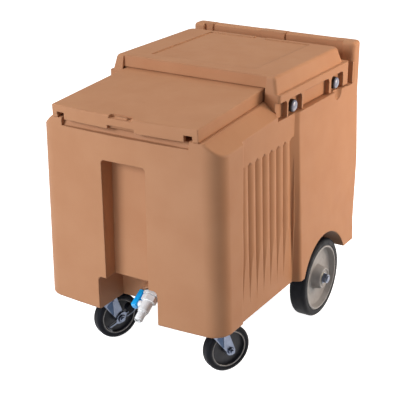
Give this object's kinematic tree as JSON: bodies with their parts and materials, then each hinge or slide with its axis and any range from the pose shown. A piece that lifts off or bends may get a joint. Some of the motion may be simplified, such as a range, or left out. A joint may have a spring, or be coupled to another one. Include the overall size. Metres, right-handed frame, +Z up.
{
  "type": "mobile ice bin",
  "caption": "Insulated mobile ice bin with a sliding lid, a bolted rear cover, a push handle, swivel casters in front, large fixed rear wheels and a drain valve.",
  "frame": {"origin": "the ground at the centre of the bounding box", "axes": "+X is the right-hand side seen from the front, -Y is the front with the drain, +Z is up"},
  "size_m": [0.584, 0.7966, 0.743],
  "materials": {
    "tan_polyethylene": "rotation-moulded polyethylene, fine satin texture",
    "white_polyethylene": "moulded polyethylene",
    "white_plastic": "moulded PVC",
    "seat_plastic": "PTFE",
    "bush_plastic": "nylon",
    "blue_plastic": "moulded, smooth",
    "black_plastic": "moulded, fine grain",
    "grey_plastic": "moulded, light grey",
    "dark_grey_plastic": "moulded",
    "black_rubber": "solid rubber",
    "zinc_steel": "bright zinc plate",
    "dark_steel": "black coated pressed steel",
    "brass": "machined"
  },
  "bodies": {
    "tub": {"insulated_tub": "tan_polyethylene", "rear_cover": "tan_polyethylene", "drain_shelf": "white_polyethylene", "threaded_inserts": "brass", "drain_fitting": "white_plastic", "drain_gaskets": "black_rubber", "drain_locknut": "white_plastic", "valve_body": "white_plastic", "ball_seats": "seat_plastic", "hose_tail": "white_plastic", "caster_screws": "zinc_steel", "kingpins": "zinc_steel", "rear_axle": "zinc_steel", "bracket_screws": "zinc_steel", "axle_spacers": "zinc_steel", "axle_washers": "zinc_steel", "rear_axle_nuts": "zinc_steel", "caster_plate_right": "zinc_steel", "axle_bracket_right": "zinc_steel", "caster_plate_left": "zinc_steel", "axle_bracket_left": "zinc_steel"},
    "lid": {"front_lid": "tan_polyethylene"},
    "knob_right_front": {"cover_knob_right_front": "black_plastic", "knob_cap_right_front": "grey_plastic", "knob_stud_right_front": "zinc_steel"},
    "knob_right_rear": {"cover_knob_right_rear": "black_plastic", "knob_cap_right_rear": "grey_plastic", "knob_stud_right_rear": "zinc_steel"},
    "knob_left_front": {"cover_knob_left_front": "black_plastic", "knob_cap_left_front": "grey_plastic", "knob_stud_left_front": "zinc_steel"},
    "knob_left_rear": {"cover_knob_left_rear": "black_plastic", "knob_cap_left_rear": "grey_plastic", "knob_stud_left_rear": "zinc_steel"},
    "valve_handle": {"valve_lever": "blue_plastic", "valve_stem": "white_plastic", "valve_ball": "white_plastic", "lever_screw": "zinc_steel"},
    "fork_right": {"caster_fork_right": "zinc_steel", "axle_bolt_right": "zinc_steel", "axle_nut_right": "zinc_steel"},
    "caster_right": {"caster_wheel_right": "dark_grey_plastic", "caster_tyre_right": "black_rubber", "caster_bush_right": "bush_plastic"},
    "wheel_right": {"rear_wheel_right": "grey_plastic", "rear_tyre_right": "black_rubber", "wheel_bushes_right": "bush_plastic"},
    "fork_left": {"caster_fork_left": "zinc_steel", "axle_bolt_left": "zinc_steel", "axle_nut_left": "zinc_steel"},
    "caster_left": {"caster_wheel_left": "dark_grey_plastic", "caster_tyre_left": "black_rubber", "caster_bush_left": "bush_plastic"},
    "wheel_left": {"rear_wheel_left": "grey_plastic", "rear_tyre_left": "black_rubber", "wheel_bushes_left": "bush_plastic"},
    "brake": {"brake_lever": "dark_steel", "brake_pad": "black_rubber"}
  },
  "joints": [
    {"name": "lid_slide", "type": "slide", "parent": "tub", "child": "lid", "axis": [0, 0.9978, 0.0663], "range_m": [0, 0.28]},
    {"name": "knob_right_front_turn", "type": "hinge", "parent": "tub", "child": "knob_right_front", "pos_m": [0.2403, 0.002, 0.6515], "axis": [1, 0, 0], "continuous": true},
    {"name": "knob_right_rear_turn", "type": "hinge", "parent": "tub", "child": "knob_right_rear", "pos_m": [0.2403, 0.255, 0.6515], "axis": [1, 0, 0], "continuous": true},
    {"name": "knob_left_front_turn", "type": "hinge", "parent": "tub", "child": "knob_left_front", "pos_m": [-0.2403, 0.002, 0.6515], "axis": [-1, 0, 0], "continuous": true},
    {"name": "knob_left_rear_turn", "type": "hinge", "parent": "tub", "child": "knob_left_rear", "pos_m": [-0.2403, 0.255, 0.6515], "axis": [-1, 0, 0], "continuous": true},
    {"name": "valve_turn", "type": "hinge", "parent": "tub", "child": "valve_handle", "pos_m": [0.005, -0.31216, 0.16563], "axis": [1, 0, 0], "range_deg": [0, 90]},
    {"name": "caster_right_swivel", "type": "hinge", "parent": "tub", "child": "fork_right", "pos_m": [0.17, -0.276, 0.15], "axis": [0, 0, 1], "continuous": true},
    {"name": "caster_right_roll", "type": "hinge", "parent": "fork_right", "child": "caster_right", "pos_m": [0.19362, -0.2325, 0.0635], "axis": [0.8788, -0.4772, 0], "continuous": true},
    {"name": "caster_left_swivel", "type": "hinge", "parent": "tub", "child": "fork_left", "pos_m": [-0.17, -0.276, 0.15], "axis": [0, 0, 1], "continuous": true},
    {"name": "caster_left_roll", "type": "hinge", "parent": "fork_left", "child": "caster_left", "pos_m": [-0.14924, -0.23106, 0.0635], "axis": [0.9078, -0.4195, 0], "continuous": true},
    {"name": "brake_rock", "type": "hinge", "parent": "fork_left", "child": "brake", "pos_m": [-0.122, -0.24365, 0.0635], "axis": [0.9078, -0.4195, 0], "range_deg": [0, 25]},
    {"name": "wheel_right_roll", "type": "hinge", "parent": "tub", "child": "wheel_right", "pos_m": [0.247, 0.172, 0.112], "axis": [1, 0, 0], "continuous": true},
    {"name": "wheel_left_roll", "type": "hinge", "parent": "tub", "child": "wheel_left", "pos_m": [-0.247, 0.172, 0.112], "axis": [1, 0, 0], "continuous": true}
  ]
}
